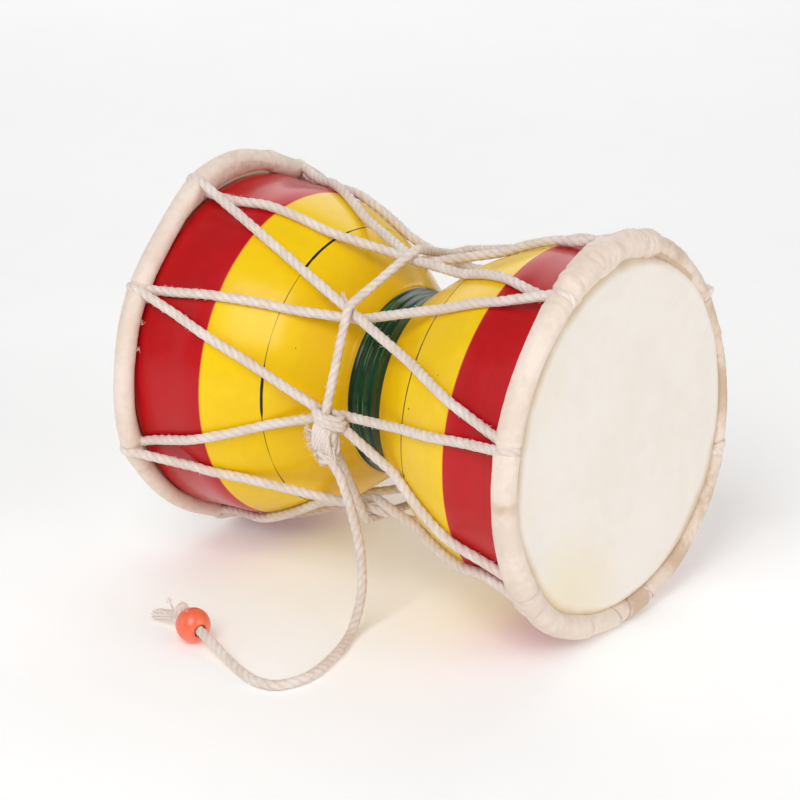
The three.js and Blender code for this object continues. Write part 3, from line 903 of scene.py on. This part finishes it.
def hideMaterial():
    material, nodes, place = newMaterial("drumHide", {
        "Roughness": 0.55, "Specular IOR Level": 0.4, "Subsurface Weight": 0.15,
        "Subsurface Radius": (0.004, 0.0025, 0.0015),
    })
    tone = nodes.mix(nodes.blotches(place, 24, 190), colour(243, 234, 223), colour(246, 238, 229))
    veins = nodes.band(nodes.noise(place, 75, 6, 0.7, 1.2), 0.6, 0.72)
    tone = nodes.tint(tone, veins, 0.1, colour(228, 208, 184))
    _, y, z = nodes.split(place)
    high = nodes.minus(z, axisHeight * mm)
    radius = nodes.calc("SQRT", nodes.calc("ADD", nodes.times(y, y), nodes.times(high, high)))
    # a tan band in the crease where the hide meets the roll: partly the hide's own tan, partly painted shade
    wander = nodes.calc("MULTIPLY_ADD", nodes.noise(place, 60, 3), 6 * mm, radius)
    tone = nodes.tint(tone, nodes.band(wander, 56.2 * mm, 60.2 * mm), 0.8, colour(216, 190, 154))
    for degrees, reach, strength in hide["tints"]:
        apart = nodes.distance(place, around(hide["face"], 50, degrees))
        tone = nodes.tint(tone, nodes.band(apart, reach * mm, 0), strength, colour(243, 227, 190))
    grain = nodes.noise(place, 700, 4, 0.6)
    nodes.paint(tone, nodes.calc("MULTIPLY_ADD", grain, 0.12, nodes.noise(place, 46, 3)), 0.3, 0.0009)
    return material


def makeHide(name, spec, material):
    side, face, thickness = spec["side"], hide["face"], hide["thickness"]
    outline = [(face, r) for r in hide["rings"]]
    outline += [(face + rise, out) for out, rise in hide["fold"]]
    outline += [(face - 3.1, 57.1), (face - 1.7, 55.6), (face - thickness, 53.6), (face - thickness, 0)]
    bm = spun([(side * along, out) for along, out in outline], axisHeight, hide["rounds"], False, 1e-6)
    for vertex in bm.verts:
        along, radius, degrees = placeOf(vertex.co)
        _, centre, size = rollCentre(spec, degrees)
        lip = centre - size - rollReach(spec, degrees) - (spec["outer"] - 2 * spec["radius"])
        if abs(along) > face - 2:
            radius += max(lip, hide["leastLip"]) * smoothStep(50, 56, radius)
            y, z = -vertex.co.y / mm, vertex.co.z / mm - axisHeight
            sway = noise.noise(Vector((y * 0.07, z * 0.07, spec["seed"]))) * 0.3
            along += side * sway * smoothStep(2, 20, radius)
        vertex.co = around(along, radius, degrees)
    return dress(smoothMesh(bm, name), material)


drumHide = hideMaterial()
headHideNear = makeHide("headHideNear", rolls["near"], drumHide)
headHideFar = makeHide("headHideFar", rolls["far"], drumHide)
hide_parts("head_hide_near")
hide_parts("head_hide_far")
print("hides made")


# lacing

# further: at a crossing, how much further out the first and the second strand are, how many degrees
# further round the second is, and how much further out the tie is
lacing = {
    "gather": 42.4, "gap": 0.4, "lift": 0.15, "lean": 0.7, "under": 57.5,
    "crossings": [(1.5, 8), (-4, 44.3), (-2.4, 88), (1.5, 138), (-3, 204), (-1, 262), (-7, 317)],
    "further": {0: (0, 1.4, -5, 0), 6: (4.7, 1.9, 0, -1.8)},
}
unmoved = (0, 0, 0, 0)
crossingStep = rope["radius"] + lacing["gap"] / 2


def rollTurn(spec, degrees):
    # the turn round a roll, from the strand outside it, over its face and back between it and the shell
    side, (along, radius, size) = spec["side"], rollCentre(spec, degrees)
    out = size + rope["radius"] - spec["bite"]
    under = max(radius - size - 0.2, lacing["under"] + rope["radius"])
    route = []
    for step, distance, turn in (
        (-0.8 * out, radius + 0.75 * out, 1), (-0.4 * out, radius + 0.95 * out, 0.9), (0, radius + out, 0.7),
        (0.42 * out, radius + 0.93 * out, 0.5), (0.78 * out, radius + 0.68 * out, 0.3),
        (out, radius + 0.3 * out, 0.1), (out, radius - 0.3 * out, -0.1), (0.75 * out, under + 0.9, -0.3),
        (0.3 * out, under, -0.5), (-0.3 * out, under - 0.1, -0.8), (-out, under - 0.1, -1),
    ):
        route.append(around(along + side * step, distance, degrees + turn * lacing["lean"]))
    return route


def pull(start, end):
    # a straight pull between two points, kept off the shell that it lies on
    points = []
    steps = 15
    for k in range(1, steps):
        point = start.lerp(end, k / steps)
        along, distance, _ = placeOf(point)
        scale = max(1, (shellRadius(along) + rope["radius"] + lacing["lift"]) / distance)
        high = (point.z - axisHeight * mm) * scale
        points.append(Vector((point.x, point.y * scale, high + axisHeight * mm)))
    return points


def lacingRoute():
    near, far = rolls["near"], rolls["far"]
    count = len(far["lacing"])
    points = []

    def strand(start, middle, end):
        points.extend(pull(start, middle) + [middle] + list(reversed(pull(end, middle))))

    for lap in range(count):
        first, second, third = ((2 * lap + k) % count for k in range(3))
        farTurn = rollTurn(far, far["lacing"][first])[::-1]
        nearTurn = rollTurn(near, near["lacing"][second])[::-1]
        nextTurn = rollTurn(far, far["lacing"][third])[::-1]
        points.extend(farTurn)
        along, degrees = lacing["crossings"][first]
        radius = lacing["gather"] + crossingStep + lacing["further"].get(first, unmoved)[0]
        strand(farTurn[-1], around(along, radius, degrees), nearTurn[0])
        points.extend(nearTurn)
        along, degrees = lacing["crossings"][second]
        _, inner, more, _ = lacing["further"].get(second, unmoved)
        radius = lacing["gather"] - crossingStep + inner
        strand(nearTurn[-1], around(along, radius, degrees + more), nextTurn[0])
    return points


lacingPoints, lacingLength = smoothRoute(lacingRoute(), rope["step"] * mm, True)
print("lacing cord, metres:", round(lacingLength, 3), "rings", len(lacingPoints))
lacingCord = dress(joinMeshes("lacingCord", [
    ropeMesh("laid", [(lacingPoints, lacingLength)], rope["radius"], True),
    curveMesh("hairs", hairs(random.Random(7), lacingPoints, rope["radius"], rope["hairs"])),
]), cotton)
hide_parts("lacing_cord")


# waist tie and its knot

# turns and lower: place, tilt and half width; wraps: place along the tie; strands: place and length
tie = {
    "radius": 1.5, "flat": 1.6, "knotted": 2, "step": 0.5,
    "turns": [(2.4, -0.14, 4.9, 2.3), (0.9, -0.17, 5.5, 2.5), (-0.6, -0.12, 5.1, 2.3)], "turnRadius": 1.02,
    "wraps": (-3.6, -2.4, -1.2, 0, 1.2, 2.4), "wrapRadius": 0.72,
    "lower": [(0.7, -12.4, 0.25, 2.6), (0.2, -10.7, -0.2, 2.7)], "lowerRadius": 0.95,
    "core": [(1.9, -0.5), (1.5, -6), (0.9, -12.4)], "coreRadius": 1.7,
    "fan": 16, "strands": [(2.7, 6.4), (3.5, 5.0), (1.8, 4.2)], "yarnRadius": 0.42,
    "stub": [(-4.6, 0.6, 43), (-6.5, 0.9, 41), (-8.2, 0.7, 39.4)],  # a cut yarn end at the next crossing
}
tieRadius = lacing["gather"] + crossingStep + 2 * rope["radius"] + 0.1


def tieRoute():
    corners = []
    for i, (along, degrees) in enumerate(lacing["crossings"]):
        more = lacing["further"].get(i, unmoved)[3]
        flat, radius = tie["flat"] * (2 if more else 1), tieRadius + more
        corners.append((around(along, radius, degrees - flat), around(along, radius, degrees + flat)))
    points = []
    for i, (first, last) in enumerate(corners):
        before, after = corners[i - 1][1], corners[(i + 1) % len(corners)][0]
        points += [first.lerp(before, 0.3), first.lerp(before, 0.1), first]
        points += [last, last.lerp(after, 0.1), last.lerp(after, 0.3)]
    return points


def makeTie():
    along, degrees = lacing["crossings"][tie["knotted"]]
    heart = around(along + 0.6, tieRadius - 0.6, degrees + 0.5)
    u, w, d = Vector((1, 0, 0)), Vector((0, 0, 1)), Vector((0, -1, 0))

    def at(right, up, out):
        return heart + (u * right + w * up + d * out) * mm

    turns, thin, lower, fan, tufts = [], [], [], [], []
    for k, (up, tilt, half, deep) in enumerate(tie["turns"]):
        across = (u + w * tilt).normalized()
        turns.append(loopPoints(at(0.25 * k, up, -0.5), across, d, half, deep, 20, 0.35, 1 + k))
    for k, right in enumerate(tie["wraps"]):
        lean = (w + u * (0.04 - 0.03 * k)).normalized()
        thin.append(loopPoints(at(right, -5.2 - 0.22 * k, 0.3), lean, d, 4.5, 2.5, 18, 0.3, 6 + 0.1 * k))
    for k, (right, up, tilt, half) in enumerate(tie["lower"]):
        across = (u + w * tilt).normalized()
        lower.append(loopPoints(at(right, up, 0.1), across, d, half, 2.4, 16, 0.3, 12 + k))
    core = [at(right, up, -0.2) for right, up in tie["core"]]
    draw = random.Random(5)
    for k in range(tie["fan"]):
        # the cut end of the tie, opened into its yarns
        angle = math.radians(166 + 6.4 * k + draw.uniform(-3, 3))
        out = u * math.cos(angle) + w * math.sin(angle) + d * draw.uniform(-0.1, 0.3)
        start = at(-2.4 + 0.09 * k, -4.6 - 0.3 * k, 0.9 - 0.04 * k)
        reach = 5.2 + draw.uniform(-0.9, 0.6)
        bend = w * draw.uniform(-0.8, 0.4)
        points = [start, start + out * reach * 0.5 * mm, start + (out * reach + bend) * mm]
        fan.append(smoothRoute(points, 0.4 * mm))
        tip = start + (out * reach * 0.74 + bend * 0.6) * mm
        tufts += frayedEnd(draw, tip, out.normalized(), 0.4, 18, 2.0, 0.08)
    for right, length in tie["strands"]:
        start = at(right, -7.4, 1.6)
        middle = start + (w * -0.5 * length + u * 0.35) * mm
        fan.append(smoothRoute([start, middle, start + (w * -length + u * 0.9 + d * -0.3) * mm], 0.4 * mm))
    tufts += frayedEnd(draw, at(0.8, 2.6, 1.6), Vector((0.2, -0.5, 0.85)), 0.3, 14, 1.6, 0.09)
    stub = [around(along, tieRadius + out, degrees) for along, out, degrees in tie["stub"]]
    fan.append(smoothRoute(stub, 0.4 * mm))
    tufts += frayedEnd(draw, stub[1], (stub[2] - stub[0]).normalized(), 0.25, 14, 2.4, 0.08)
    tufts += hairs(draw, [p for loop in turns + thin + lower for p in loop], 1.1, 1.6)
    step = tie["step"] * mm
    ring, ringLength = smoothRoute(tieRoute(), step, True)
    tufts += hairs(draw, ring, tie["radius"], rope["hairs"])

    def rings(name, loops, radius, pitch):
        return ropeMesh(name, [smoothRoute(loop, step, True) for loop in loops], radius, True, pitch)

    return dress(joinMeshes("waistTie", [
        ropeMesh("ring", [(ring, ringLength)], tie["radius"], True),
        rings("turns", turns, tie["turnRadius"], 8),
        rings("wraps", thin, tie["wrapRadius"], 7),
        rings("lower", lower, tie["lowerRadius"], 8),
        ropeMesh("core", [smoothRoute(core, step)], tie["coreRadius"], False, 8),
        ropeMesh("yarns", fan, tie["yarnRadius"], False, 7, lambda t: 1 - 0.35 * t),
        curveMesh("tufts", tufts),
    ]), cotton)


waistTie = makeTie()
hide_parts("waist_tie")
print("lacing and tie made")


# table

def makeFloor():
    material, nodes, place = newMaterial("paleTable", {
        "Roughness": 0.9, "Specular IOR Level": 0.1, "Emission Color": (1, 1, 1, 1),
        "Emission Strength": lights["table"],  # a lit table, so that the shadows stay light
    })
    tone = nodes.mix(nodes.blotches(place, 6, 60), (0.93, 0.93, 0.93, 1), (0.95, 0.95, 0.95, 1))
    nodes.paint(tone)
    bm = bmesh.new()
    bmesh.ops.create_grid(bm, x_segments=1, y_segments=1, size=9)
    mesh = bpy.data.meshes.new("table")
    bm.to_mesh(mesh)
    bm.free()
    floor = bpy.data.objects.new("table", mesh)
    floor.location.z = -0.0002
    scene.collection.objects.link(floor)
    mesh.materials.append(material)


makeFloor()
